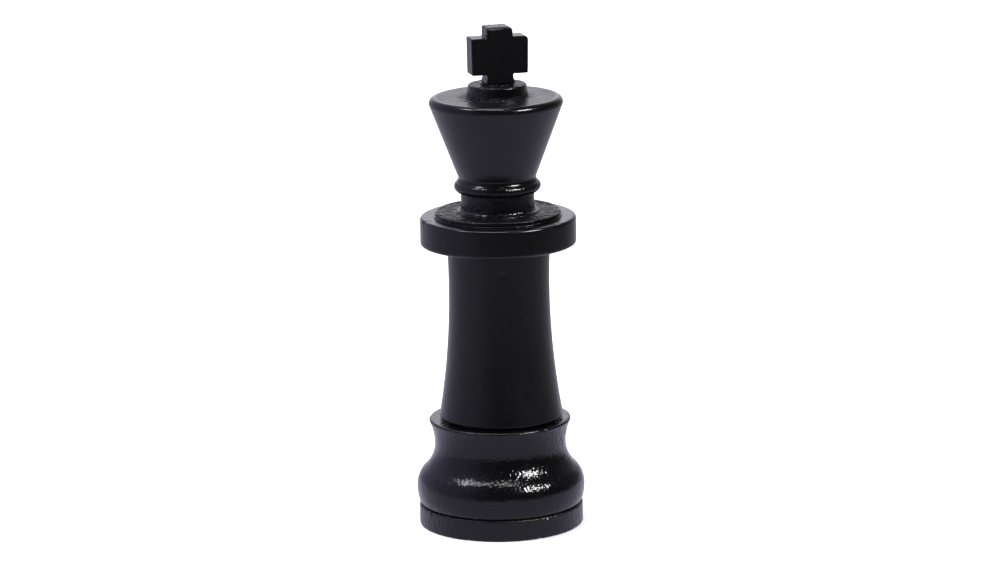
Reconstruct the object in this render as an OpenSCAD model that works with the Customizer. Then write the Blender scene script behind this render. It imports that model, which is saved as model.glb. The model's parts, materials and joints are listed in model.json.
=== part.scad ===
// Giant king from a set of lawn chess: turned and sawn wooden pieces, painted black,
// that are doweled, screwed and glued together on one upright axis.
// Z runs up that axis from the ground, and the cross's arms lie along X. Millimetres.

/* [Foot disc] */
// Radius of the foot disc
foot_r = 49.9; // [48:0.1:54]
// Height of the foot disc
foot_h = 13; // [11:0.2:18]
// Rounding of the foot disc's two edges
foot_edge = 0.9; // [0.4:0.1:2]

/* [Base] */
// Radius where the base meets the foot disc
base_seat_r = 48; // [44:0.2:49]
// Largest radius of the base, at its bulge
bulge_r = 51.2; // [49:0.1:56]
// Radius of the arc that rounds the bulge's upper side
bulge_arc_r = 15; // [8:0.2:22]
// Smallest radius of the base, in the hollow under its rim
hollow_r = 40; // [37:0.1:42]
// Radius of the base's rim
rim_r = 43.2; // [41:0.1:48]
// Height of the bulge above the base's underside
bulge_up = 11.2; // [8:0.2:15]
// Height of the hollow above the base's underside
hollow_up = 37.4; // [31:0.2:40]
// Height of the whole base
base_h = 52.8; // [46:0.1:60]
// Rounding of the rim's edge
rim_edge = 0.8; // [0.3:0.1:1.5]
// Depth of the socket that takes the stem's tenon
socket_d = 12; // [8:0.5:16]
// How far the socket, and all that stands in it, is off the base's centre towards +X
stem_off = 1; // [0:0.1:1.5]

/* [Stem] */
// Radius of the stem's tenon
tenon_r = 33; // [24:0.5:34]
// Open gap between the rim and the stem's lower edge
shadow_gap = 0.8; // [0.4:0.1:4]
// Radius of the stem at its waist
waist_r = 30.6; // [28:0.1:32]
// Radius of the long arc that shapes the stem
stem_arc_r = 460; // [400:10:900]
// Height of the waist above the stem's lower edge
waist_up = 81.4; // [60:0.5:90]
// Height of the stem above its lower edge
stem_h = 107.3; // [95:0.2:120]
// Rounding of the stem's lower edge
stem_edge = 1.5; // [0.3:0.1:2]

/* [Collar] */
// Radius of the collar's flange
flange_r = 47.3; // [43:0.1:52]
// Height of the flange
flange_h = 17.2; // [12:0.1:22]
// Rounding of the flange's lower edge
flange_low_edge = 1.7; // [1:0.1:4]
// Rounding of the flange's upper edge
flange_top_edge = 1.8; // [0.4:0.1:2.5]
// Radius of the step disc's lower tier
step_low_r = 39; // [36:0.1:42]
// Radius of the step disc's upper tier
step_top_r = 38.1; // [33:0.1:38.5]
// Height of the lower tier
step_low_h = 0.8; // [0.8:0.1:2]
// Height of the whole step disc
step_h = 3; // [3:0.1:5]

/* [Neck and bead] */
// Radius of the neck's foot
neck_foot_r = 24.9; // [24.8:0.1:30]
// Height of the neck's foot
neck_foot_h = 0.6; // [0.6:0.1:4]
// Radius of the neck
neck_r = 22.2; // [18:0.1:22.2]
// Radius of the small hollow between the neck's foot and the neck
neck_cove_r = 2.2; // [0.8:0.1:2.2]
// Height of the whole neck
neck_h = 12.1; // [9:0.1:16]
// Outer radius of the bead
bead_r = 26.3; // [25:0.1:30]
// Radius of the bead's round edge
bead_edge = 3.5; // [2.5:0.1:4]
// Angle above level at which the bead's round edge meets the crown's foot
bead_join = 55; // [40:1:70]

/* [Crown] */
// Radius of the small hollow around the crown's foot
crown_cove_r = 2.9; // [1.5:0.1:3.5]
// Largest radius of the crown
crown_r = 40.5; // [36:0.1:46]
// Height of the crown
crown_h = 51.7; // [44:0.1:60]
// Rounding of the crown's rim
crown_edge = 3.6; // [1:0.1:4.5]
// Radius of the button at its foot
button_r = 18.6; // [16:0.1:22]
// Radius of the button at its top
button_top_r = 17.7; // [14:0.1:18]
// Height of the button
button_h = 7.6; // [5:0.1:10]
// Rounding of the button's top edge
button_edge = 0.8; // [0.3:0.1:1.5]
// How far the button is off the stem's axis towards +X, as it was glued
button_off = 0.9; // [0:0.1:1.5]
// Radius of the low round seat under the cross
seat_r = 10.2; // [9.5:0.1:13]
// Height of that seat
seat_h = 0.7; // [0.4:0.1:3]

/* [Cross] */
// Width across the arms
cross_w = 35.4; // [30:0.1:42]
// Width of the upright
post_w = 16.2; // [13:0.1:18]
// Thickness of the board that the cross is cut from
cross_t = 12.8; // [11:0.1:16]
// Height of the upright
cross_h = 34.5; // [32:0.1:42]
// Height of the arms
arm_h = 22.4; // [12:0.1:24]
// Height of the arms' underside above the upright's foot
arm_up = 5.8; // [4:0.1:7]
// Rounding of the cross's edges
cross_edge = 0.6; // [0.5:0.1:2]
// How far the cross and its dowel are off the stem's axis towards +X, as they were glued
cross_off = 1.5; // [0:0.1:1.6]

/* [Dowels and screws] */
// Radius of the long dowel through the collar, neck and crown
head_dowel_r = 9; // [6:0.5:12]
// Depth of the long dowel in the stem
head_dowel_down = 40; // [25:1:60]
// Depth of the long dowel in the crown
head_dowel_up = 30; // [20:1:34]
// Radius of the dowel that holds the button and the cross
cross_dowel_r = 4; // [2.5:0.5:4.5]
// Depth of that dowel in the crown
cross_dowel_down = 12; // [8:0.5:14]
// Depth of that dowel in the cross
cross_dowel_up = 18; // [10:0.5:22]
// Number of screws through the foot disc
foot_screws_n = 4; // [3:1:6]
// Radius of the circle that the foot screws stand on
foot_screws_pr = 30; // [24:1:38]
// Length of a foot screw
foot_screw_l = 32; // [25:1:36]
// Length of the coach screw under its head
coach_screw_l = 70; // [55:1:90]

/* [Hidden] */

// Heights of the joints between the pieces, from the ground up
base_z = foot_h;
rim_z = base_z + base_h;
socket_z = rim_z - socket_d;
stem_z = rim_z + shadow_gap;
flange_z = stem_z + stem_h;
step_z = flange_z + flange_h;
neck_z = step_z + step_h;
bead_z = neck_z + neck_h;
crown_z = bead_z + bead_edge * (1 + sin(bead_join));
button_z = crown_z + crown_h;
seat_z = button_z + button_h;
cross_z = seat_z + seat_h;

// Room that glued and screwed pieces have in their holes, and how far a hole runs past its end
glue_gap = 0.1;
past = 1;

// Foot screw: shank, thread root, head, and how deep the head is sunk
screw_r = 2.25;
screw_root_r = 1.6;
screw_head_r = 4.4;
screw_head_h = 2.6;
screw_sunk = 0.8;
screw_pitch = 2;

// Coach screw with a six-sided head, and its washer
coach_r = 4;
coach_root_r = 3;
coach_head_flats = 13;
coach_head_h = 5.5;
coach_plain_l = 22;
coach_pitch = 3.4;
washer_r = 12;
washer_h = 2;
pocket_r = 13.5;
pocket_h = 8.4;
washer_z = base_z + pocket_h - washer_h;

// Steps along a curve and along an edge's rounding, and round a turned piece and a bore
curve_n = 14;
edge_n = 6;
turn_fn = 96;
bore_fn = 48;

wood_black = "#222126";
raw_wood = "#c9a574";
zinc = "#b6bac0";

// Points along an arc about c, from angle a0 to angle a1
function arc(c, r, a0, a1, n = edge_n) =
    [for (i = [0 : n]) let (a = a0 + (a1 - a0) * i / n) c + r * [cos(a), sin(a)]];

// Quarter ellipse that leaves the seat level and rises to the widest point of the bulge
function bulge_curve() =
    [for (i = [0 : curve_n])
        let (a = 90 * i / curve_n)
        [base_seat_r + (bulge_r - base_seat_r) * sin(a), base_z + bulge_up * (1 - cos(a))]];

// Two arcs that meet in one slope, from the bulge in to the hollow
function shoulder_curve() =
    let (in = bulge_r - hollow_r,
         up = hollow_up - bulge_up,
         radii = (in * in + up * up) / (2 * in),
         slope = asin(up / radii),
         hollow_arc_r = radii - bulge_arc_r)
    concat(
        arc([bulge_r - bulge_arc_r, base_z + bulge_up], bulge_arc_r, 0, slope, curve_n),
        arc([hollow_r + hollow_arc_r, base_z + hollow_up], hollow_arc_r, 180 + slope, 180,
            curve_n));

// Parabola, from the hollow out to the rim
function flare_curve() =
    [for (i = [1 : curve_n])
        let (t = i / curve_n)
        [hollow_r + (rim_r - hollow_r) * t * t,
         base_z + hollow_up + (base_h - hollow_up - rim_edge) * t]];

// Radius of the stem at a height above its lower edge
function stem_r(up) =
    waist_r + stem_arc_r - sqrt(stem_arc_r * stem_arc_r - (up - waist_up) * (up - waist_up));

// Centres of the crown's two rounded edges, and the lean of the straight side that touches both
crown_foot_r = bead_r - bead_edge * (1 - cos(bead_join));
cove_c = [crown_foot_r, crown_z] + crown_cove_r * [cos(bead_join), sin(bead_join)];
crown_edge_c = [crown_r - crown_edge, button_z - crown_edge];
crown_span = crown_edge_c - cove_c;
crown_lean = atan2(crown_span[0], crown_span[1])
    + asin((crown_cove_r + crown_edge) / norm(crown_span));

// Body turned about the upright axis
module turned(outline) {
    rotate_extrude($fn = turn_fn) polygon(outline);
}

// Upright round hole or dowel from z0 to z1
module upright(r, z0, z1) {
    translate([0, 0, z0]) cylinder(r = r, h = z1 - z0, $fn = bore_fn);
}

// Round dowel with its two ends chamfered
module dowel(r, z0, z1, chamfer = 1) {
    turned([[0, z0], [r - chamfer, z0], [r, z0 + chamfer], [r, z1 - chamfer],
            [r - chamfer, z1], [0, z1]]);
}

// Outline of a screw's thread, as rings from z0 up to z1, and its point
function thread(root_r, tip_r, z0, z1, pitch) =
    let (turns = floor((z1 - z0) / pitch))
    concat(
        [for (i = [0 : turns - 1], k = [0 : 1])
            [k == 0 ? root_r : tip_r, z0 + pitch * (i + 0.25 + k * 0.35)]],
        [[root_r, z0 + pitch * turns]]);

// On the stem's own axis, or so far off it
module on_stem_axis(off = 0) {
    translate([stem_off + off, 0, 0]) children();
}

module at_foot_screws() {
    for (i = [0 : foot_screws_n - 1])
        rotate([0, 0, 45 + 360 * i / foot_screws_n])
            translate([foot_screws_pr, 0, 0])
                children();
}

// Box with all of its edges rounded, centred in X and Y and standing on z0
module eased_block(w, t, h, z0) {
    module eased_section(a, b) {
        square([a - 2 * cross_edge, b], center = true);
        square([a, b - 2 * cross_edge], center = true);
        for (x = [-1, 1], y = [-1, 1])
            translate([x * (a / 2 - cross_edge), y * (b / 2 - cross_edge)])
                circle(r = cross_edge, $fn = 32);
    }
    translate([0, 0, z0 + h / 2])
        intersection() {
            linear_extrude(h, center = true) eased_section(w, t);
            rotate([90, 0, 0]) linear_extrude(t, center = true) eased_section(w, h);
            rotate([90, 0, 90]) linear_extrude(w, center = true) eased_section(t, h);
        }
}

// Flat disc at the very bottom, with countersunk screw holes in its underside
module foot_disc() {
    color(wood_black) difference() {
        turned(concat(
            [[0, 0]],
            arc([foot_r - foot_edge, foot_edge], foot_edge, -90, 0),
            arc([foot_r - foot_edge, foot_h - foot_edge], foot_edge, 0, 90),
            [[0, foot_h]]));
        at_foot_screws() {
            upright(screw_r + glue_gap, -past, foot_h + past);
            upright(screw_head_r + glue_gap, -past, screw_sunk);
            translate([0, 0, screw_sunk])
                cylinder(r1 = screw_head_r + glue_gap, r2 = screw_r + glue_gap,
                         h = screw_head_h, $fn = bore_fn);
        }
    }
}

// Countersunk wood screws that hold the foot disc to the base
module foot_screws() {
    color(zinc) at_foot_screws() {
        thread_z = screw_sunk + screw_head_h + 9;
        thread_end = screw_sunk + foot_screw_l - 4;
        difference() {
            turned(concat(
                [[0, screw_sunk], [screw_head_r, screw_sunk],
                 [screw_r, screw_sunk + screw_head_h], [screw_r, thread_z]],
                thread(screw_root_r, screw_r, thread_z, thread_end, screw_pitch),
                [[0, screw_sunk + foot_screw_l]]));
            for (a = [0, 90])
                rotate([0, 0, a])
                    translate([0, 0, screw_sunk])
                        cube([4.6, 1, 3], center = true);
        }
    }
}

// Bulging base with a hollowed throat and a flared rim
module base_body() {
    color(wood_black) difference() {
        turned(concat(
            [[0, base_z]],
            bulge_curve(),
            shoulder_curve(),
            flare_curve(),
            arc([rim_r - rim_edge, rim_z - rim_edge], rim_edge, 0, 90),
            [[0, rim_z]]));
        on_stem_axis() {
            upright(tenon_r + glue_gap, socket_z, rim_z + past);
            upright(coach_r + glue_gap, base_z, rim_z);
            upright(pocket_r, base_z - past, base_z + pocket_h);
        }
        at_foot_screws()
            upright(screw_r + glue_gap, base_z - past, screw_sunk + foot_screw_l + past);
    }
}

// Steel washer under the coach screw's head
module base_washer() {
    on_stem_axis() color(zinc) difference() {
        upright(washer_r, washer_z, washer_z + washer_h);
        upright(coach_r + 0.4, washer_z - past, washer_z + washer_h + past);
    }
}

// Coach screw that draws the stem down into the base
module base_coach_screw() {
    thread_z = washer_z + coach_plain_l;
    thread_end = washer_z + coach_screw_l - 6;
    on_stem_axis() color(zinc) {
        translate([0, 0, washer_z - coach_head_h])
            cylinder(r = coach_head_flats / 2 / cos(30), h = coach_head_h, $fn = 6);
        turned(concat(
            [[0, washer_z - coach_head_h / 2], [coach_r, washer_z - coach_head_h / 2],
             [coach_r, thread_z]],
            thread(coach_root_r, coach_r, thread_z, thread_end, coach_pitch),
            [[0, washer_z + coach_screw_l]]));
    }
}

// Waisted stem with a tenon under it
module stem() {
    on_stem_axis() color(wood_black) difference() {
        turned(concat(
            [[0, socket_z], [tenon_r - 1, socket_z], [tenon_r, socket_z + 1],
             [tenon_r, stem_z]],
            arc([stem_r(stem_edge) - stem_edge, stem_z + stem_edge], stem_edge, -90, 0),
            [for (i = [1 : 2 * curve_n])
                let (up = stem_edge + (stem_h - stem_edge) * i / (2 * curve_n))
                [stem_r(up), stem_z + up]],
            [[0, flange_z]]));
        upright(coach_r + glue_gap, socket_z - past, washer_z + coach_screw_l + 3);
        upright(head_dowel_r + glue_gap, flange_z - head_dowel_down - past, flange_z + past);
    }
}

// Broad flange of the collar
module collar_flange() {
    on_stem_axis() color(wood_black) difference() {
        turned(concat(
            [[0, flange_z]],
            arc([flange_r - flange_low_edge, flange_z + flange_low_edge],
                flange_low_edge, -90, 0),
            arc([flange_r - flange_top_edge, step_z - flange_top_edge],
                flange_top_edge, 0, 90),
            [[0, step_z]]));
        upright(head_dowel_r + glue_gap, flange_z - past, step_z + past);
    }
}

// Thin disc in two tiers on top of the flange
module collar_step() {
    on_stem_axis() color(wood_black) difference() {
        union() {
            upright(step_low_r, step_z, step_z + step_low_h);
            upright(step_top_r, step_z, neck_z);
        }
        upright(head_dowel_r + glue_gap, step_z - past, neck_z + past);
    }
}

// Short neck on a round foot
module neck() {
    foot_top = neck_z + neck_foot_h;
    on_stem_axis() color(wood_black) difference() {
        turned(concat(
            [[0, neck_z], [neck_foot_r, neck_z]],
            arc([neck_foot_r - 0.5, foot_top - 0.5], 0.5, 0, 90),
            arc([neck_r + neck_cove_r, foot_top + neck_cove_r], neck_cove_r, 270, 180),
            [[neck_r, bead_z], [0, bead_z]]));
        upright(head_dowel_r + glue_gap, neck_z - past, bead_z + past);
    }
}

// Round-edged ring between the neck and the crown
module bead_ring() {
    on_stem_axis() color(wood_black) difference() {
        turned(concat(
            [[0, bead_z]],
            arc([bead_r - bead_edge, bead_z + bead_edge], bead_edge, -90, bead_join,
                2 * edge_n),
            [[0, crown_z]]));
        upright(head_dowel_r + glue_gap, bead_z - past, crown_z + past);
    }
}

// Flaring crown with a flat top
module crown() {
    on_stem_axis() color(wood_black) difference() {
        turned(concat(
            [[0, crown_z]],
            arc(cove_c, crown_cove_r, 180 + bead_join, 180 - crown_lean),
            arc(crown_edge_c, crown_edge, -crown_lean, 90, 2 * edge_n),
            [[0, button_z]]));
        upright(head_dowel_r + glue_gap, crown_z - past, crown_z + head_dowel_up + past);
        translate([cross_off, 0, 0])
            upright(cross_dowel_r + glue_gap, button_z - cross_dowel_down - past,
                    button_z + past);
    }
}

// Long dowel through the flange, step, neck and bead
module head_dowel() {
    on_stem_axis() color(raw_wood)
        dowel(head_dowel_r, flange_z - head_dowel_down, crown_z + head_dowel_up);
}

// Button on the crown, with the cross's round seat on it
module crown_button() {
    on_stem_axis(button_off) color(wood_black) difference() {
        turned(concat(
            [[0, button_z], [button_r, button_z]],
            arc([button_top_r - button_edge, seat_z - button_edge], button_edge, 0, 90),
            [[seat_r, seat_z]],
            arc([seat_r - 0.4, cross_z - 0.4], 0.4, 0, 90),
            [[0, cross_z]]));
        translate([cross_off - button_off, 0, 0])
            upright(cross_dowel_r + glue_gap, button_z - past, cross_z + past);
    }
}

// Cross cut from one board
module cross() {
    on_stem_axis(cross_off) color(wood_black) difference() {
        union() {
            eased_block(post_w, cross_t, cross_h, cross_z);
            eased_block(cross_w, cross_t, arm_h, cross_z + arm_up);
        }
        upright(cross_dowel_r + glue_gap, cross_z - past, cross_z + cross_dowel_up + past);
    }
}

// Dowel through the button, from the crown up into the cross
module cross_dowel() {
    on_stem_axis(cross_off) color(raw_wood)
        dowel(cross_dowel_r, button_z - cross_dowel_down, cross_z + cross_dowel_up);
}

foot_disc();
foot_screws();
base_body();
base_washer();
base_coach_screw();
stem();
collar_flange();
collar_step();
neck();
bead_ring();
crown();
head_dowel();
crown_button();
cross();
cross_dowel();
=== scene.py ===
"""A black turned-wood giant chess king on a pale studio floor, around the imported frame.

Every wooden piece is turned or sawn here as its own closed mesh, with its real bores, tenon
and socket, and takes its place and size from the frame. The screws, the washer and the
dowels are the frame's own nodes with better materials. Outlines are in millimetres.
"""
import json
import math

import bmesh
import bpy
import numpy as np
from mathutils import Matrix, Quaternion, Vector, noise


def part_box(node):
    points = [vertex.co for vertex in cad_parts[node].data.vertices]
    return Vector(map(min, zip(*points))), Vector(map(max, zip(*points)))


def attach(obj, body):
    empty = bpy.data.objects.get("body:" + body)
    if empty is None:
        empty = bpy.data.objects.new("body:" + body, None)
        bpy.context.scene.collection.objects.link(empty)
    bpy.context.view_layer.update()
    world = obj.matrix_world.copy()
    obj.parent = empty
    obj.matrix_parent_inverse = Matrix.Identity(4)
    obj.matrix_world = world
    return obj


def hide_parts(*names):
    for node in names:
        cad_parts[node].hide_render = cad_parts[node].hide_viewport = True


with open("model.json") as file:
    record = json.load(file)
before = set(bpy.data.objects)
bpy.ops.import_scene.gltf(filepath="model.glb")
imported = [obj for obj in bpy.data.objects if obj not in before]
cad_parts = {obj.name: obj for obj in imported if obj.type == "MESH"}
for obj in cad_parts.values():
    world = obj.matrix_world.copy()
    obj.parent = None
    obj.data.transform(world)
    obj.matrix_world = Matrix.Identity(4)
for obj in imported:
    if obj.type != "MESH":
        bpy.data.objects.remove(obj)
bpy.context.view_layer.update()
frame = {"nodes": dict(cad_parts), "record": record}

MM = 0.001
TURN = 2 * math.pi

# Where the camera stands round the king, and how far it looks down, in degrees
CAMERA_AZIMUTH = -15.0
CAMERA_ELEVATION = 12.85
CAMERA_ROLL = 1.01
CAMERA_DISTANCE = 2.83
CAMERA_LENS = 168.0
AIM = Vector((0.0, 0.0, 0.1503))
AIM_RIGHT = 0.00153

# The paint's gloss, as a Principled specular level, and its colour
PAINT_SHINE = 0.25
PAINT_BLACK = (0.0019, 0.0018, 0.0021, 1)

# How far the lamps stand off, and how far the floor reaches, in metres
LAMP_DISTANCE = 6.0
FLOOR_SIZE = 24

# Sizes that the frame's boxes don't give, in millimetres
SHADOW_GAP = 0.8
TENON_R = 33.0
HEAD_BORE_R = 9.1
HEAD_DOWEL_DOWN = 40.0
HEAD_DOWEL_UP = 30.0
CROSS_BORE_R = 4.1
CROSS_DOWEL_DOWN = 12.0
CROSS_DOWEL_UP = 18.0
SCREW_BORE_R = 4.1
COACH_SCREW_L = 70.0
POCKET_R = 13.5
POCKET_H = 8.4


# ---------------------------------------------------------------- places from the frame

def span(node):
    """Lowest and highest height of a CAD node, in millimetres."""
    low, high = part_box(node)
    return low[2] / MM, high[2] / MM


def radius(node):
    """Largest radius of a turned CAD node, in millimetres."""
    low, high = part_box(node)
    return (high[0] - low[0]) / 2 / MM


def axis_of(node):
    """Where a CAD node's own upright axis stands, in metres."""
    low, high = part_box(node)
    return (low[0] + high[0]) / 2, (low[1] + high[1]) / 2


def slot_of(node):
    """The material slot that the record gives a CAD node."""
    return next(s["material_slot"] for s in frame["record"]["subparts"] if s["node"] == node)


def seen_from_camera(right_of_front):
    """World angle of a place on a turned piece that lies so many degrees right of its front."""
    return math.radians(-90 + CAMERA_AZIMUTH + right_of_front)


# ---------------------------------------------------------------- outlines

def arc(centre, r, start, end, step=0.2):
    """Points along an arc, from one angle to another in degrees."""
    n = max(4, math.ceil(r * abs(math.radians(end - start)) / step))
    angles = [math.radians(start + (end - start) * i / n) for i in range(n + 1)]
    return [(centre[0] + r * math.cos(a), centre[1] + r * math.sin(a)) for a in angles]


def curve(point, n):
    """Points of a curve given as a function from 0 to 1."""
    return [point(i / n) for i in range(n + 1)]


def spaced(outline, step):
    """The outline with its long stretches cut into steps no longer than step."""
    points = [outline[0]]
    for (r0, z0), (r1, z1) in zip(outline[:-1], outline[1:]):
        length = math.hypot(r1 - r0, z1 - z0)
        if length < 1e-6:
            continue
        n = max(1, math.ceil(length / step))
        points += [(r0 + (r1 - r0) * i / n, z0 + (z1 - z0) * i / n) for i in range(1, n + 1)]
    return points


# ---------------------------------------------------------------- turned meshes

def linked(name, data):
    """A new object in the scene."""
    made = bpy.data.objects.new(name, data)
    bpy.context.scene.collection.objects.link(made)
    return made


def of_vertices(mesh, what):
    """A vector of every vertex of a mesh, such as its place or its normal, as an array."""
    values = np.empty(len(mesh.vertices) * 3)
    mesh.vertices.foreach_get(what, values)
    return values.reshape(-1, 3)


class Fault:
    """A small fault of hand work at a place on a piece: a dent, a chip or bare wood."""

    def __init__(self, right, r, z, size, depth=0.0, bare=0.0):
        self.right, self.r, self.z = right, r, z
        self.size, self.depth, self.bare = size, depth, bare

    def strength(self, places, axis):
        """From 0 to 1 at each place, ragged at its border."""
        a = seen_from_camera(self.right)
        centre = np.array([axis[0] + self.r * MM * math.cos(a),
                           axis[1] + self.r * MM * math.sin(a), self.z * MM])
        away = np.linalg.norm(places - centre, axis=1) / (self.size * MM)
        near = away < 1.6
        ragged = np.zeros(len(places))
        ragged[near] = [0.35 * noise.noise(Vector(p) * 2200) for p in places[near]]
        return np.clip(1 - (away + ragged) ** 2, 0, 1) ** 0.7


def grain_noise(places, across, along, seed):
    """Noise drawn out along the upright grain; across and along are its sizes in mm."""
    scale = np.array([1 / across, 1 / across, 1 / along]) / MM
    offset = np.array([seed * 17.3, seed * 5.1, seed * 9.7])
    return np.array([noise.noise(p) for p in places * scale + offset])


def outward(outline, closed):
    """Unit normals of an outline that runs up the outside, as (r, z) pairs."""
    p = np.array(outline)
    if closed:
        run = np.roll(p, -1, axis=0) - np.roll(p, 1, axis=0)
    else:
        run = np.gradient(p, axis=0)
    normal = np.stack([run[:, 1], -run[:, 0]], axis=1)
    return normal / np.maximum(np.linalg.norm(normal, axis=1, keepdims=True), 1e-9)


def skin_weights(outline, skin_from, skin_to, fade=1.2):
    """From 0 on the hidden stretches of an outline to 1 on its visible skin."""
    p = np.array(outline)
    along = np.concatenate([[0], np.cumsum(np.linalg.norm(np.diff(p, axis=0), axis=1))])
    inside = np.minimum(along - along[skin_from], along[skin_to] - along)
    return np.clip(inside / fade, 0, 1)


def edge_weights(outline, closed):
    """From 0 on level stretches of an outline to 1 on its sharp outer edges."""
    normal = outward(outline, closed)
    after, before = np.roll(normal, -1, axis=0), np.roll(normal, 1, axis=0)
    turn = before[:, 0] * after[:, 1] - before[:, 1] * after[:, 0]
    p = np.array(outline)
    length = np.linalg.norm(np.roll(p, -1, axis=0) - np.roll(p, 1, axis=0), axis=1)
    bend = np.clip(turn / np.maximum(length, 1e-6), 0, None)
    return np.clip(bend / 0.9, 0, 1)


def ring_mesh(name, rings, poles, closed):
    """Closed mesh through rings of points; poles says which rings are one point on the axis."""
    count, segments = rings.shape[0], rings.shape[1]
    points, first = [], []
    for ring, pole in zip(rings, poles):
        first.append(len(points))
        points.extend(ring[:1] if pole else ring)
    faces = []
    for i in range(count if closed else count - 1):
        k = (i + 1) % count
        for j in range(segments):
            j1 = (j + 1) % segments
            low = [first[i]] if poles[i] else [first[i] + j, first[i] + j1]
            high = [first[k]] if poles[k] else [first[k] + j1, first[k] + j]
            faces.append(low + high)
    mesh = bpy.data.meshes.new(name)
    mesh.from_pydata([tuple(p) for p in points], [], faces)
    mesh.validate()
    work = bmesh.new()
    work.from_mesh(mesh)
    bmesh.ops.recalc_face_normals(work, faces=work.faces)
    work.to_mesh(mesh)
    work.free()
    return linked(name, mesh)


def turned(node, low, skin, high, closed=False, step=0.6, segments=384, wobble=0.05,
           grain=0.02, grain_size=(1.6, 16.0), ragged=0.0, coarse=None, faults=(), seed=0,
           axis=None):
    """A turned piece in place of a CAD node.

    low, skin and high are the stretches of its outline, from the axis or the bore out along
    the underside, up the visible side, and back in along the top. The skin gets the faults
    of hand work: wobble is out-of-round, grain is raised grain, and ragged is how deep its
    sharp edges are nibbled, in millimetres. coarse gives, from a radius and a height, how
    coarsely that ring is finished: 1 is brush-marked and dull, -1 is smooth and shiny.
    """
    axis = axis or axis_of(node)
    low, skin, high = spaced(low, 4), spaced(skin, step), spaced(high, 4)
    outline = low + skin[1:] + high[1:]
    skin_from, skin_to = len(low) - 1, len(low) + len(skin) - 2
    if closed:
        outline = outline[:-1]
    angle = np.arange(segments) * TURN / segments
    outline_m = np.array(outline) * MM
    rings = np.stack([axis[0] + outline_m[:, :1] * np.cos(angle),
                      axis[1] + outline_m[:, :1] * np.sin(angle),
                      np.repeat(outline_m[:, 1:], segments, axis=1)], axis=2)
    normal = outward(outline, closed)
    weight = skin_weights(outline, skin_from, skin_to)
    edge = edge_weights(outline, closed)
    push = np.zeros(rings.shape[:2])
    bare = np.zeros(rings.shape[:2])
    for i in range(skin_from, min(skin_to + 1, len(outline))):
        places = rings[i]
        push[i] = weight[i] * wobble * grain_noise(places, 28, 60, seed)
        push[i] += weight[i] * grain * grain_noise(places, *grain_size, seed + 1)
        if ragged and edge[i] > 0.05:
            nibble = grain_noise(places, 2.4, 5.0, seed + 2)
            push[i] -= edge[i] * ragged * np.clip(nibble + 0.1, 0, 1)
        for fault in faults:
            strength = fault.strength(places, axis)
            push[i] -= fault.depth * strength
            bare[i] = np.maximum(bare[i], fault.bare * strength)
    rings[:, :, 0] += push * MM * normal[:, :1] * np.cos(angle)
    rings[:, :, 1] += push * MM * normal[:, :1] * np.sin(angle)
    rings[:, :, 2] += push * MM * normal[:, 1:]
    poles = [r < 1e-6 for r, _ in outline]
    piece = ring_mesh(node + "_turned", rings, poles, closed)
    own = [k for k, pole in enumerate(poles) for _ in range(1 if pole else segments)]
    flat_bare = [b for k, pole in enumerate(poles) for b in (bare[k][:1] if pole else bare[k])]
    rough = [float(np.clip(coarse(r, z), -1, 1)) if coarse else 0.0 for r, z in outline]
    paint_marks(piece, [float(edge[k]) for k in own], [float(b) for b in flat_bare],
                [rough[k] for k in own])
    return finish_piece(piece, node)


def paint_marks(piece, edge, bare, coarse):
    """Stores where paint is rubbed, wood is bare and the finish is coarse, for the materials."""
    for name, values in (("edge", edge), ("bare", bare), ("coarse", coarse)):
        marks = piece.data.attributes.new(name, "FLOAT", "POINT")
        marks.data.foreach_set("value", values)


def finish_piece(piece, node, body="root"):
    """Smooth shading, and the piece's place in the frame."""
    piece.data.shade_smooth()
    piece.data.set_sharp_from_angle(angle=math.radians(38))
    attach(piece, body)
    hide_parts(node)
    slot = slot_of(node)
    piece.data.materials.append(MATERIALS[slot])
    return piece


def cut(piece, cutters):
    """Cuts holes in a piece and removes the cutters."""
    for cutter in cutters:
        hole = piece.modifiers.new("hole", "BOOLEAN")
        hole.operation, hole.solver, hole.object = "DIFFERENCE", "EXACT", cutter
    bpy.context.view_layer.update()
    graph = bpy.context.evaluated_depsgraph_get()
    mesh = bpy.data.meshes.new_from_object(piece.evaluated_get(graph), depsgraph=graph)
    piece.modifiers.clear()
    piece.data = mesh
    for cutter in cutters:
        bpy.data.objects.remove(cutter)


def drill(place, outline, segments=48):
    """A round cutter with an outline in millimetres, upright at a place given in metres."""
    angle = np.arange(segments) * TURN / segments
    o = np.array(outline) * MM
    rings = np.stack([place[0] + o[:, :1] * np.cos(angle), place[1] + o[:, :1] * np.sin(angle),
                      np.repeat(o[:, 1:], segments, axis=1)], axis=2)
    return ring_mesh("drill", rings, [r < 1e-6 for r, _ in outline], False)


# ---------------------------------------------------------------- materials

def add(tree, kind, props=None, **inputs):
    """Adds a shader node; inputs are its sockets, by name or as _number, each given a value
    or another socket."""
    made = tree.nodes.new("ShaderNode" + kind)
    for name, value in (props or {}).items():
        setattr(made, name, value)
    for name, value in inputs.items():
        socket = made.inputs[int(name[1:]) if name[0] == "_" else name.replace("_", " ")]
        if isinstance(value, bpy.types.NodeSocket):
            tree.links.new(value, socket)
        else:
            socket.default_value = value
    return made


def stretched(tree, across, along):
    """Object coordinates for a pattern whose features are across and along mm in size."""
    place = add(tree, "TexCoord").outputs["Object"]
    scale = (1 / (across * MM), 1 / (across * MM), 1 / (along * MM))
    return add(tree, "Mapping", Vector=place, Scale=scale).outputs["Vector"]


def pattern(tree, across, along, detail=2.0, rough=0.5):
    """Noise from 0 to 1 with features of that size, drawn out along Z."""
    return add(tree, "TexNoise", Vector=stretched(tree, across, along), Scale=1.0,
               Detail=detail, Roughness=rough).outputs["Fac"]


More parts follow.
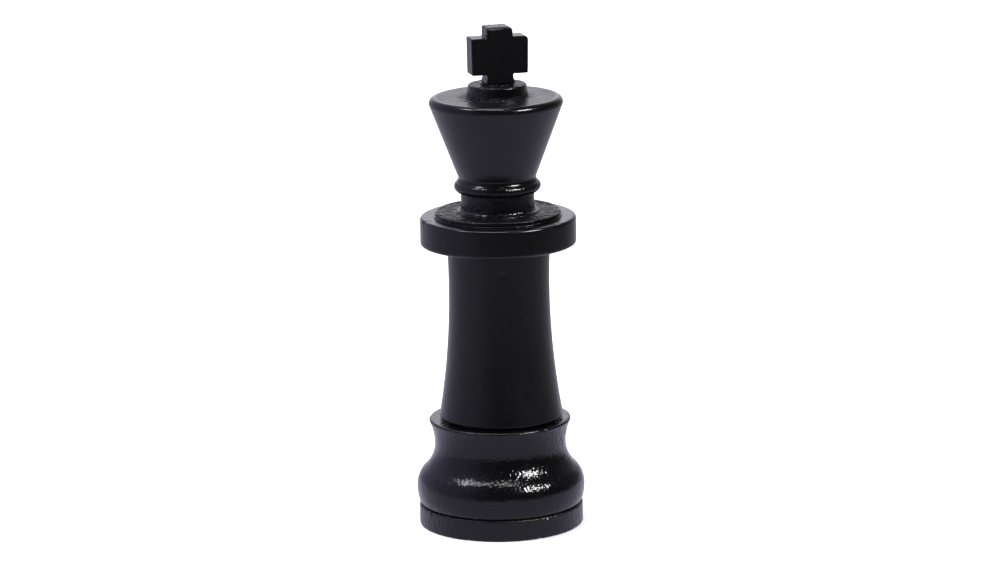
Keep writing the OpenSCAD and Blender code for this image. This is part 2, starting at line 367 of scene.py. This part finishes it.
def ramp(tree, value, low, high, out_low=0.0, out_high=1.0):
    """Smooth step of a value from one range to another."""
    return add(tree, "MapRange", {"interpolation_type": "SMOOTHSTEP"}, Value=value,
               _1=low, _2=high, _3=out_low, _4=out_high).outputs["Result"]


def bump(tree, height, distance_mm, under=None):
    """Bump whose full height is distance_mm, on top of another bump."""
    made = add(tree, "Bump", Height=height, Distance=distance_mm * MM, Strength=1.0)
    if under:
        tree.links.new(under, made.inputs["Normal"])
    return made.outputs["Normal"]


def maths(tree, operation, *values, clamp=False):
    """One step of arithmetic on values or sockets."""
    inputs = {f"_{i}": value for i, value in enumerate(values)}
    return add(tree, "Math", {"operation": operation, "use_clamp": clamp}, **inputs).outputs[0]


def new_material(name):
    """An empty node material with its Principled shader."""
    material = bpy.data.materials.new(name)
    material.use_nodes = True
    return material, material.node_tree, material.node_tree.nodes["Principled BSDF"]


def attribute(tree, name):
    """A value stored on the mesh's points."""
    return add(tree, "Attribute", {"attribute_name": name}).outputs["Fac"]


def mixed(tree, factor, a, b):
    """Colour a turning to colour b as the factor goes from 0 to 1."""
    made = add(tree, "Mix", {"data_type": "RGBA"})
    for socket, value in ((made.inputs["Factor"], factor), (made.inputs[6], a),
                          (made.inputs[7], b)):
        if isinstance(value, bpy.types.NodeSocket):
            tree.links.new(value, socket)
        else:
            socket.default_value = value
    return made.outputs[2]


def black_paint(name, roughness, grain_mm, peel_mm, pore_mm, pore_size=(0.5, 6.0)):
    """Black paint on wood: raised grain, open pores, orange peel, brush marks, worn edges.

    grain_mm, peel_mm and pore_mm are how deep each of those is. The mesh's own marks say
    where the paint is rubbed, where wood is bare, and how coarse or smooth the finish is.
    """
    material, tree, shader = new_material(name)
    grain = pattern(tree, 1.0, 5.0, 3.0, 0.6)
    needles = pattern(tree, 1.5, 4.5, 1.0, 0.5)
    pores = ramp(tree, pattern(tree, *pore_size, 2.0, 0.5), 0.66, 0.74)
    peel = pattern(tree, 1.8, 1.8, 1.0, 0.5)
    cloud = pattern(tree, 14.0, 30.0, 2.0, 0.5)
    dust = ramp(tree, pattern(tree, 0.8, 0.8, 1.0, 0.5), 0.74, 0.8)
    rub_marks = ramp(tree, pattern(tree, 1.2, 1.2, 3.0, 0.6), 0.5, 0.75)
    blotches = ramp(tree, pattern(tree, 5.0, 5.0, 2.0, 0.6), 0.35, 0.65, 0.35, 1.5)

    coarse = attribute(tree, "coarse")
    rubbed = maths(tree, "MULTIPLY", attribute(tree, "edge"), rub_marks)
    brushed = maths(tree, "MULTIPLY", maths(tree, "MAXIMUM", coarse, 0.0), blotches)
    dull = maths(tree, "MULTIPLY_ADD", cloud, 0.14, roughness - 0.07)
    dull = maths(tree, "MULTIPLY_ADD", grain, 0.10, dull)
    dull = maths(tree, "MULTIPLY_ADD", rubbed, 0.12, dull)
    dull = maths(tree, "MULTIPLY_ADD", coarse, 0.25, dull, clamp=True)
    tree.links.new(dull, shader.inputs["Roughness"])
    tree.links.new(ramp(tree, brushed, 0.0, 1.0, PAINT_SHINE, 0.3 * PAINT_SHINE),
                   shader.inputs["Specular IOR Level"])

    rub_colour = mixed(tree, maths(tree, "MULTIPLY", rubbed, 0.35), PAINT_BLACK,
                       (0.022, 0.019, 0.018, 1))
    pore_colour = mixed(tree, pores, rub_colour, (0.0015, 0.0014, 0.0016, 1))
    wood = mixed(tree, grain, (0.55, 0.47, 0.38, 1), (0.78, 0.72, 0.64, 1))
    bare = ramp(tree, attribute(tree, "bare"), 0.35, 0.6)
    tree.links.new(mixed(tree, bare, pore_colour, wood), shader.inputs["Base Color"])

    brush_marks = maths(tree, "MULTIPLY", brushed, pattern(tree, 1.7, 1.7, 2.0, 0.5))
    normal = bump(tree, peel, peel_mm)
    normal = bump(tree, grain, grain_mm * 0.2, normal)
    normal = bump(tree, needles, grain_mm, normal)
    normal = bump(tree, dust, 0.02, normal)
    normal = bump(tree, brush_marks, 1.6, normal)
    normal = bump(tree, maths(tree, "SUBTRACT", 1.0, pores), pore_mm, normal)
    tree.links.new(normal, shader.inputs["Normal"])
    return material


def raw_wood(name):
    """Unpainted hardwood dowel with fine flutes of grain."""
    material, tree, shader = new_material(name)
    rings = add(tree, "TexWave", {"wave_type": "BANDS", "bands_direction": "X"},
                Vector=stretched(tree, 1.0, 14.0), Scale=0.5, Distortion=3.0, Detail=3.0)
    fibre = pattern(tree, 0.5, 12.0, 4.0, 0.6)
    tone = mixed(tree, rings.outputs["Fac"], (0.42, 0.25, 0.11, 1), (0.62, 0.42, 0.22, 1))
    tree.links.new(mixed(tree, ramp(tree, fibre, 0.55, 0.75), tone, (0.30, 0.17, 0.08, 1)),
                   shader.inputs["Base Color"])
    tree.links.new(ramp(tree, fibre, 0.2, 0.8, 0.55, 0.75), shader.inputs["Roughness"])
    tree.links.new(bump(tree, fibre, 0.05), shader.inputs["Normal"])
    return material


def zinc_steel(name):
    """Zinc-plated steel with faint turning marks and a dull bloom."""
    material, tree, shader = new_material(name)
    bloom = pattern(tree, 2.2, 2.2, 3.0, 0.6)
    marks = pattern(tree, 3.0, 0.12, 2.0, 0.5)
    tree.links.new(mixed(tree, bloom, (0.46, 0.48, 0.52, 1), (0.66, 0.66, 0.64, 1)),
                   shader.inputs["Base Color"])
    tree.links.new(ramp(tree, bloom, 0.3, 0.7, 0.28, 0.45), shader.inputs["Roughness"])
    tree.links.new(bump(tree, marks, 0.01), shader.inputs["Normal"])
    shader.inputs["Metallic"].default_value = 1.0
    return material


MATERIALS = {
    "gloss_black": black_paint("gloss_black_paint", 0.085, 0.27, 0.18, 0.06),
    "satin_black": black_paint("satin_black_paint", 0.22, 0.05, 0.03, 0.02),
    "end_grain_black": black_paint("end_grain_black_paint", 0.26, 0.45, 0.05, 0.16,
                                   pore_size=(0.7, 9.0)),
    "raw_dowel": raw_wood("raw_dowel_wood"),
    "zinc_steel": zinc_steel("zinc_plated_steel"),
}


# ---------------------------------------------------------------- the pieces

def foot_disc():
    low, high = span("foot_disc")
    r, edge = radius("foot_disc"), 0.9
    skin = (arc((r - edge, low + edge), edge, -90, 0) + arc((r - edge, high - edge), edge, 0, 90))
    faults = [Fault(34, r, high - 1.2, 0.6, 0.3, 1.0), Fault(-24, r, 0.6, 1.6, 0.5),
              Fault(28, r, 0.5, 2.2, 0.6), Fault(-58, r, high - 0.3, 2.6, 0.5)]
    piece = turned("foot_disc", [(0, low), skin[0]], skin, [skin[-1], (0, high)], step=0.45,
                   segments=720, wobble=0.08, grain=0.05, grain_size=(0.9, 9.0), ragged=0.35,
                   faults=faults, seed=1)
    screws_low, screws_high = span("foot_screws")
    cutters = []
    for x, y in foot_screw_places():
        head_r, shank_r, cone = 4.5, 2.35, 2.6
        cutters.append(drill((x, y), [(0, -1), (head_r, -1), (head_r, screws_low),
                                      (shank_r, screws_low + cone), (shank_r, high + 1),
                                      (0, high + 1)]))
    cut(piece, cutters)
    return piece


def foot_screw_places():
    """Where the four foot screws stand, in metres, worked out from the group's box."""
    low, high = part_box("foot_screws")
    head_r = 4.4 * MM
    return [(x, y) for x in (low[0] + head_r, high[0] - head_r)
            for y in (low[1] + head_r, high[1] - head_r)]


def base_body():
    low, high = span("base_body")
    seat_r, bulge_r, hollow_r, rim_r = 48.0, radius("base_body"), 40.0, 43.2
    edge = 1.3
    bulge_z, hollow_z, bulge_arc_r = low + 11.2, low + 37.4, 15.0
    socket_z = span("stem")[0]
    inward, up = bulge_r - hollow_r, hollow_z - bulge_z
    radii = (inward ** 2 + up ** 2) / (2 * inward)
    slope, hollow_arc_r = math.degrees(math.asin(up / radii)), radii - bulge_arc_r
    bulge = curve(lambda t: (seat_r + (bulge_r - seat_r) * math.sin(t * math.pi / 2),
                             low + (bulge_z - low) * (1 - math.cos(t * math.pi / 2))), 36)
    shoulder = (arc((bulge_r - bulge_arc_r, bulge_z), bulge_arc_r, 0, slope)
                + arc((hollow_r + hollow_arc_r, hollow_z), hollow_arc_r, 180 + slope, 180))
    flare = curve(lambda t: (hollow_r + (rim_r - hollow_r) * t * t,
                             hollow_z + (high - edge - hollow_z) * t), 40)
    rim = arc((rim_r - edge, high - edge), edge, 0, 90)
    skin = bulge + shoulder[1:] + flare[1:] + rim + [(TENON_R + 1.4, high)]
    faults = [Fault(74, hollow_r + 0.8, hollow_z + 8, 2.2, 0.45),
              Fault(69, 41, hollow_z + 2, 2.0, 0.4), Fault(64, hollow_r, hollow_z + 5, 1.6, 0.3),
              Fault(70, 42, hollow_z - 6, 1.8, 0.3),
              Fault(10, rim_r, high - 0.3, 1.6, 0.3), Fault(38, rim_r, high - 0.2, 2.0, 0.3)]
    piece = turned("base_body", [(0, low), skin[0]], skin, [skin[-1], (0, high)],
                   segments=448, wobble=0.12, grain=0.035, grain_size=(1.5, 8.0), ragged=0.2,
                   faults=faults, seed=2, axis=(0.0, 0.0))
    stem_axis = axis_of("stem")
    socket = drill(stem_axis, [(0, socket_z), (TENON_R + 0.1, socket_z),
                               (TENON_R + 0.1, high + 2), (0, high + 2)], 256)
    pocket = drill(stem_axis, [(0, low - 1), (POCKET_R, low - 1), (POCKET_R, low + POCKET_H),
                               (SCREW_BORE_R, low + POCKET_H), (SCREW_BORE_R, socket_z + 1),
                               (0, socket_z + 1)], 96)
    screw_end = span("foot_screws")[1] + 1
    pilots = [drill(place, [(0, low - 1), (2.35, low - 1), (2.35, screw_end), (0, screw_end)])
              for place in foot_screw_places()]
    cut(piece, [socket, pocket] + pilots)
    return piece


def stem():
    low, high = span("stem")
    shoulder_z = span("base_body")[1] + SHADOW_GAP
    waist_r, waist_z, long_r, edge = 30.6, shoulder_z + 81.4, 460.0, 1.5
    screw_end = span("base_washer")[0] + 2 + COACH_SCREW_L + 3

    def stem_r(z):
        return waist_r + long_r - math.sqrt(long_r ** 2 - (z - waist_z) ** 2)

    bottom = stem_r(shoulder_z + edge)
    below = [(0, screw_end), (SCREW_BORE_R, screw_end), (SCREW_BORE_R, low),
             (TENON_R - 1, low), (TENON_R, low + 1), (TENON_R, shoulder_z)]
    skin = ([(TENON_R, shoulder_z)]
            + arc((bottom - edge, shoulder_z + edge), edge, -90, 0)
            + curve(lambda t: (stem_r(shoulder_z + edge + (high - shoulder_z - edge) * t),
                               shoulder_z + edge + (high - shoulder_z - edge) * t), 120))
    above = [(HEAD_BORE_R, high), (HEAD_BORE_R, high - HEAD_DOWEL_DOWN - 1),
             (0, high - HEAD_DOWEL_DOWN - 1)]
    faults = [Fault(-41, 35.2, 87, 0.9, 0.12), Fault(-9, 32.9, 117, 1.1, 0.10),
              Fault(-12, 33.6, 106, 0.6, 0.10), Fault(5, 31.1, 160, 2.4, 0.08)]
    return turned("stem", below, skin, [skin[-1]] + above, step=0.7, wobble=0.10, grain=0.012,
                  faults=faults, seed=3)


def bored_disc(node, skin, **look):
    """A turned piece with the long dowel's bore right through it."""
    low, high = span(node)
    return turned(node, [(HEAD_BORE_R, low), skin[0]], skin,
                  [skin[-1], (HEAD_BORE_R, high), (HEAD_BORE_R, low)], closed=True, **look)


def collar_flange():
    low, high = span("collar_flange")
    r, low_edge, top_edge = radius("collar_flange"), 1.7, 1.8
    skin = ([(r - 12, low)] + arc((r - low_edge, low + low_edge), low_edge, -90, 0)
            + arc((r - top_edge, high - top_edge), top_edge, 0, 90) + [(r - 8.5, high)])
    faults = [Fault(14, r, high - 0.2, 1.8, 0.2), Fault(52, r - 1.5, high - 0.1, 3.0, 0.25),
              Fault(-70, r - 1, high - 0.1, 4.0, 0.25)]
    return bored_disc("collar_flange", skin, wobble=0.10, grain=0.02, ragged=0.15,
                      coarse=lambda r, z: -0.35, faults=faults, seed=4)


def collar_step():
    low, high = span("collar_step")
    low_r, top_r, tier, edge = radius("collar_step"), 38.1, 0.8, 0.45
    skin = ([(low_r - 0.2, low)] + arc((low_r - edge, low + tier - edge), edge, -10, 90)
            + [(top_r, low + tier)] + arc((top_r - edge, high - edge), edge, 0, 90)
            + [(36.8, high), (36.1, high - 0.3), (35.2, high - 0.05), (33.6, high - 0.3),
               (32.4, high), (31.4, high - 0.25), (29.8, high), (27.0, high)])
    faults = [Fault(-74, top_r, high, 2.4, 0.5), Fault(-68, top_r, high - 0.6, 2.2, 0.35),
              Fault(82, top_r, high, 2.2, 0.4)]
    return bored_disc("collar_step", skin, step=0.4, segments=512, wobble=0.10, grain=0.05,
                      ragged=0.3, coarse=lambda r, z: min(0.75, (37.5 - r) / 1.5),
                      faults=faults, seed=5)


def neck():
    low, high = span("neck")
    foot_r, foot_h, neck_r, cove = radius("neck"), 0.6, 22.2, 2.2
    foot_top = low + foot_h
    skin = ([(foot_r, low)] + arc((foot_r - 0.4, foot_top - 0.4), 0.4, 0, 90)
            + arc((neck_r + cove, foot_top + cove), cove, 270, 180) + [(neck_r, high)])
    faults = [Fault(-72, foot_r, foot_top, 2.0, 0.35)]
    return bored_disc("neck", skin, step=0.4, wobble=0.08, grain=0.08,
                      grain_size=(1.3, 4.0), ragged=0.2, coarse=lambda r, z: 0.2,
                      faults=faults, seed=6)


def bead_ring():
    low, high = span("bead_ring")
    r, edge, join = radius("bead_ring"), 3.5, 55
    skin = arc((r - edge, low + edge), edge, -88, join)
    return bored_disc("bead_ring", skin, step=0.3, wobble=0.06, grain=0.02, seed=7)


def crown():
    low, high = span("crown")
    crown_r, edge, cove, bead_edge, join = radius("crown"), 3.6, 2.9, 3.5, 55
    up = math.radians(join)
    foot_r = radius("bead_ring") - bead_edge * (1 - math.cos(up))
    cove_c = (foot_r + cove * math.cos(up), low + cove * math.sin(up))
    edge_c = (crown_r - edge, high - edge)
    across, along = edge_c[0] - cove_c[0], edge_c[1] - cove_c[1]
    lean = math.degrees(math.atan2(across, along)
                        + math.asin((cove + edge) / math.hypot(across, along)))
    skin = (arc(cove_c, cove, 180 + join, 180 - lean)
            + arc(edge_c, edge, -lean, 90) + [(17.0, high)])

    def smoothness(r, z):
        return max(0.1, (26.0 - r) / 12.0) if z > high - 0.4 and r < 36 else -0.5

    faults = [Fault(9, crown_r, high - 1.0, 1.4, 0.25), Fault(-52, 26.0, high, 3.4, 0.15),
              Fault(-48, 24.0, high, 1.6, 0.25)]
    piece = turned("crown", [(0, low + HEAD_DOWEL_UP + 1), (HEAD_BORE_R, low + HEAD_DOWEL_UP + 1),
                             (HEAD_BORE_R, low), skin[0]], skin, [skin[-1], (0, high)],
                   wobble=0.14, grain=0.012, ragged=0.1, coarse=smoothness, faults=faults, seed=8)
    cut(piece, [cross_bore(high - CROSS_DOWEL_DOWN - 1, high + 1)])
    return piece


def cross_bore(low, high):
    """Cutter for the cross's dowel between two heights."""
    return drill(axis_of("cross"), [(0, low), (CROSS_BORE_R, low), (CROSS_BORE_R, high),
                                    (0, high)])


def crown_button():
    low, high = span("crown_button")
    foot_r, top_r, button_h, seat_r, edge = radius("crown_button"), 17.7, 7.6, 10.2, 0.8
    seat_z = low + button_h
    skin = ([(foot_r + 0.6, low), (foot_r + 0.25, low + 0.2), (foot_r - 0.05, low + 0.7)]
            + arc((top_r - edge, seat_z - edge), edge, 8, 90)
            + [(seat_r, seat_z)] + arc((seat_r - 0.3, high - 0.3), 0.3, 0, 90) + [(8.0, high)])
    piece = turned("crown_button", [(0, low), skin[0]], skin, [skin[-1], (0, high)], step=0.35,
                   segments=320, wobble=0.10, grain=0.09, grain_size=(1.3, 2.2), ragged=0.25,
                   coarse=lambda r, z: 0.6 if r < top_r - 1 or z < low + 1.5 else -0.1, seed=9)
    cut(piece, [cross_bore(low - 1, high + 1)])
    return piece


def cross():
    """The board-cut cross: a sawn outline with rubbed corners, in brushed paint."""
    low, high = span("cross")
    box_low, box_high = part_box("cross")
    half_w, half_t = (box_high[0] - box_low[0]) / 2 / MM, (box_high[1] - box_low[1]) / 2 / MM
    half_post, arm_low, arm_high = 8.1, low + 5.8, low + 28.2
    outline = ([(half_post + 1.5, low), (half_post + 0.7, low + 1.8), (half_post, low + 4.2),
                (half_post, arm_low), (half_w - 0.5, arm_low)]
               + arc((half_w - 2.4, arm_high - 2.2), 2.4, 0, 90)
               + [(half_post, arm_high + 0.3)]
               + arc((half_post - 3.0, high - 3.0), 3.0, 0, 90)
               + arc((1.4 - half_post, high - 1.4), 1.4, 90, 180)
               + [(-half_post, arm_high)]
               + arc((0.8 - half_w, arm_high - 0.8), 0.8, 90, 180)
               + [(0.3 - half_w, arm_low), (-half_post, arm_low), (-half_post, low + 3.4),
                  (-half_post - 1.0, low)])
    x0 = axis_of("cross")[0]
    work = bmesh.new()
    face = work.faces.new([work.verts.new((x0 + x * MM, -half_t * MM, z * MM))
                           for x, z in outline])
    pulled = bmesh.ops.extrude_face_region(work, geom=[face])["geom"]
    moved = [v for v in pulled if isinstance(v, bmesh.types.BMVert)]
    bmesh.ops.translate(work, verts=moved, vec=(0, 2 * half_t * MM, 0))
    bmesh.ops.recalc_face_normals(work, faces=work.faces)
    mesh = bpy.data.meshes.new("cross_sawn")
    work.to_mesh(mesh)
    work.free()
    piece = linked("cross_sawn", mesh)
    ease = piece.modifiers.new("eased edges", "BEVEL")
    ease.width, ease.segments, ease.limit_method = 0.6 * MM, 3, "ANGLE"
    skin = piece.modifiers.new("paint skin", "REMESH")
    skin.mode, skin.voxel_size, skin.use_smooth_shade = "VOXEL", 0.3 * MM, True
    soften = piece.modifiers.new("paint", "SMOOTH")
    soften.factor, soften.iterations = 0.5, 1
    cut(piece, [cross_bore(low - 1, low + CROSS_DOWEL_UP + 1)])
    wear_top(piece, half_t, high)
    rough_up(piece, arm_low, arm_high)
    return finish_piece(piece, "cross")


def wear_top(piece, half_t, high):
    """Rubs the post's front top edge down unevenly, by about a millimetre."""
    mesh = piece.data
    places = of_vertices(mesh, "co")
    along = places * (1, 0, 0)
    depth = 1.1 + 0.9 * grain_noise(along, 3.2, 3.2, 34)
    behind_front = places[:, 1] / MM + half_t
    below_top = high - places[:, 2] / MM
    over = np.clip(depth - (behind_front + 0.8 * below_top), 0, None)
    over[below_top > 4] = 0
    places[:, 1] += 0.4 * over * MM
    places[:, 2] -= 0.4 * over * MM
    mesh.vertices.foreach_set("co", places.ravel())
    mesh.update()


def rough_up(piece, arm_low, arm_high):
    """Out-of-flat, raised grain, and brush marks on the sawn sides, but not on the front."""
    mesh = piece.data
    places, normals = of_vertices(mesh, "co"), of_vertices(mesh, "normal")
    post = np.clip(np.maximum(places[:, 2] / MM - arm_high, arm_low - places[:, 2] / MM), 0, 1)
    sawn = np.clip(1 - np.abs(normals[:, 1]) * 1.4, 0, 1) * (0.35 + 0.65 * post)
    push = (0.10 * grain_noise(places, 9, 12, 31) + 0.02 * grain_noise(places, 1.2, 6, 32)
            + sawn * 0.22 * grain_noise(places, 1.6, 1.6, 33))
    mesh.vertices.foreach_set("co", (places + normals * push[:, None] * MM).ravel())
    mesh.update()
    worn = (normals[:, 2] > 0.25) & (np.abs(normals[:, 1]) > 0.25)
    none = [0.0] * len(places)
    paint_marks(piece, none, none, np.where(worn, 0.5, -0.2 * sawn).tolist())


for make in (foot_disc, base_body, stem, collar_flange, collar_step, neck, bead_ring, crown,
             crown_button, cross):
    make()

for node in ("foot_screws", "base_washer", "base_coach_screw", "head_dowel", "cross_dowel"):
    for place in frame["nodes"][node].material_slots:
        place.material = MATERIALS[slot_of(node)]


# ---------------------------------------------------------------- floor, light and camera

def direction(azimuth, elevation):
    """Unit vector from the king, in the azimuths that the camera's are counted in."""
    a, e = math.radians(azimuth), math.radians(elevation)
    return Vector((math.sin(a) * math.cos(e), -math.cos(a) * math.cos(e), math.sin(e)))


def sheet_object(name, width, material):
    """A flat square sheet with its middle at the origin, facing up."""
    mesh = bpy.data.meshes.new(name)
    w = width / 2
    mesh.from_pydata([(-w, -w, 0), (w, -w, 0), (w, w, 0), (-w, w, 0)], [], [(0, 1, 2, 3)])
    mesh.materials.append(material)
    made = linked(name, mesh)
    return made


def floor():
    """Plain pale floor."""
    material, tree, shader = new_material("pale_floor")
    shader.inputs["Base Color"].default_value = (0.93, 0.93, 0.93, 1)
    shader.inputs["Roughness"].default_value = 0.9
    shader.inputs["Specular IOR Level"].default_value = 0.1
    sheet_object("floor", FLOOR_SIZE, material)


def by_azimuth(tree, place, tones):
    """Colours by a place's azimuth from the camera's own, in degrees to the right of it."""
    facing = add(tree, "Mapping", Vector=place, Rotation=(0, 0, -math.radians(CAMERA_AZIMUTH)))
    parts = add(tree, "SeparateXYZ", Vector=facing.outputs["Vector"])
    toward = maths(tree, "MULTIPLY", parts.outputs["Y"], -1.0)
    around = maths(tree, "ARCTAN2", parts.outputs["X"], toward)
    turn = add(tree, "MapRange", Value=around, _1=-math.pi, _2=math.pi).outputs["Result"]
    made = add(tree, "ValToRGB", Fac=turn)
    stops = made.color_ramp
    for i, (degrees, tone) in enumerate(tones):
        at = (degrees + 180) / 360
        stop = stops.elements[i] if i < 2 else stops.elements.new(at)
        stop.position, stop.color = at, (*tone, 1)
    return made.outputs["Color"]


def painted_floor_reflection():
    """A glowing sheet just over the floor that only the king's gloss sees: a painted reflection
    of the floor, pale near the king and darker further off.
    """
    material, tree, shader = new_material("painted_floor_reflection")
    tree.nodes.remove(shader)
    place = add(tree, "TexCoord").outputs["Object"]
    far = by_azimuth(tree, place, [
        (-180, (0.75, 0.73, 0.82)), (-150, (0.52, 0.50, 0.62)), (-90, (0.60, 0.57, 0.76)),
        (-50, (0.48, 0.46, 0.58)), (-20, (0.12, 0.12, 0.12)), (0, (0.07, 0.07, 0.07)),
        (40, (0.08, 0.08, 0.08)), (90, (0.22, 0.22, 0.22)), (130, (0.30, 0.30, 0.30)),
        (160, (0.48, 0.47, 0.52)), (180, (0.75, 0.73, 0.82))])
    away = add(tree, "VectorMath", {"operation": "LENGTH"}, _0=place).outputs["Value"]
    # Painted reflection: bluish pale near the king, fading to darker tones by azimuth further off
    colour = mixed(tree, ramp(tree, away, 0.18, 0.95), (0.90, 0.86, 1.12, 1), far)
    glow = add(tree, "Emission", Color=colour, Strength=1.0)
    tree.links.new(glow.outputs[0], tree.nodes["Material Output"].inputs["Surface"])
    card = sheet_object("painted_floor_reflection", FLOOR_SIZE, material)
    card.location = (0, 0, 0.2 * MM)
    # The sheet is no lamp: its glow shows only in the gloss, as a painted reflection
    card.visible_camera = card.visible_diffuse = card.visible_shadow = False


def room():
    """A white room to the eye and to the floor; the king's gloss sees its darker sides."""
    world = bpy.data.worlds.new("room")
    bpy.context.scene.world = world
    world.use_nodes = True
    tree = world.node_tree
    white = tree.nodes["Background"]
    white.inputs["Color"].default_value = (0.98, 0.965, 1.05, 1)
    white.inputs["Strength"].default_value = 1.75
    place = add(tree, "TexCoord").outputs["Generated"]
    walls = by_azimuth(tree, place, [
        (-180, (1.35, 1.33, 1.45)), (-164, (0.80, 0.78, 0.90)), (-148, (0.42, 0.39, 0.58)),
        (-120, (0.58, 0.52, 0.88)), (-60, (0.52, 0.47, 0.72)), (-24, (0.08, 0.08, 0.09)),
        (10, (0.015, 0.015, 0.015)), (70, (0.02, 0.02, 0.02)), (130, (0.10, 0.10, 0.10)),
        (150, (0.30, 0.30, 0.32)), (164, (0.75, 0.73, 0.80)), (180, (1.35, 1.33, 1.45))])
    dim = add(tree, "Background", Color=walls, Strength=1.0)
    gloss = add(tree, "LightPath").outputs["Is Glossy Ray"]
    mix = add(tree, "MixShader", Fac=gloss)
    tree.links.new(white.outputs[0], mix.inputs[1])
    tree.links.new(dim.outputs[0], mix.inputs[2])
    tree.links.new(mix.outputs[0], tree.nodes["World Output"].inputs["Surface"])


def softbox(name, azimuth, elevation, width, height, radiance, tint=(1, 1, 1),
            lights_floor=False):
    """A rectangular soft light on the king's gloss, which may light the floor as well.

    azimuth is in degrees right of the camera's own; width and height are in metres.
    """
    light = bpy.data.lights.new(name, "AREA")
    light.shape, light.size, light.size_y = "RECTANGLE", width, height
    light.energy = radiance * math.pi * width * height
    light.color = tint
    lamp = linked(name, light)
    away = direction(CAMERA_AZIMUTH + azimuth, elevation)
    lamp.location = AIM + away * LAMP_DISTANCE
    lamp.rotation_euler = away.to_track_quat("Z", "Y").to_euler()
    lamp.visible_camera = False
    lamp.visible_diffuse = lights_floor


def camera():
    """The camera: a long lens, a little above the king and rolled a little."""
    made = linked("camera", bpy.data.cameras.new("camera"))
    made.data.lens, made.data.sensor_width = CAMERA_LENS, 36.0
    away = direction(CAMERA_AZIMUTH, CAMERA_ELEVATION)
    right = Vector((0, 0, 1)).cross(away).normalized()
    made.location = AIM + right * AIM_RIGHT + away * CAMERA_DISTANCE
    look = away.to_track_quat("Z", "Y")
    look.rotate(Quaternion(away, math.radians(-CAMERA_ROLL)))
    made.rotation_mode, made.rotation_quaternion = "QUATERNION", look
    bpy.context.scene.camera = made


floor()
painted_floor_reflection()
room()
softbox("lamp_right", azimuth=57, elevation=38.8, width=2.2, height=0.75, radiance=108)
softbox("lamp_left", azimuth=-84, elevation=59, width=1.5, height=0.9, radiance=27,
        tint=(0.98, 0.97, 1.0), lights_floor=True)
softbox("lamp_above", azimuth=-27, elevation=81, width=3.6, height=1.3, radiance=14)
camera()
bpy.context.scene.view_settings.view_transform = "Standard"
bpy.context.scene.view_settings.look = "None"
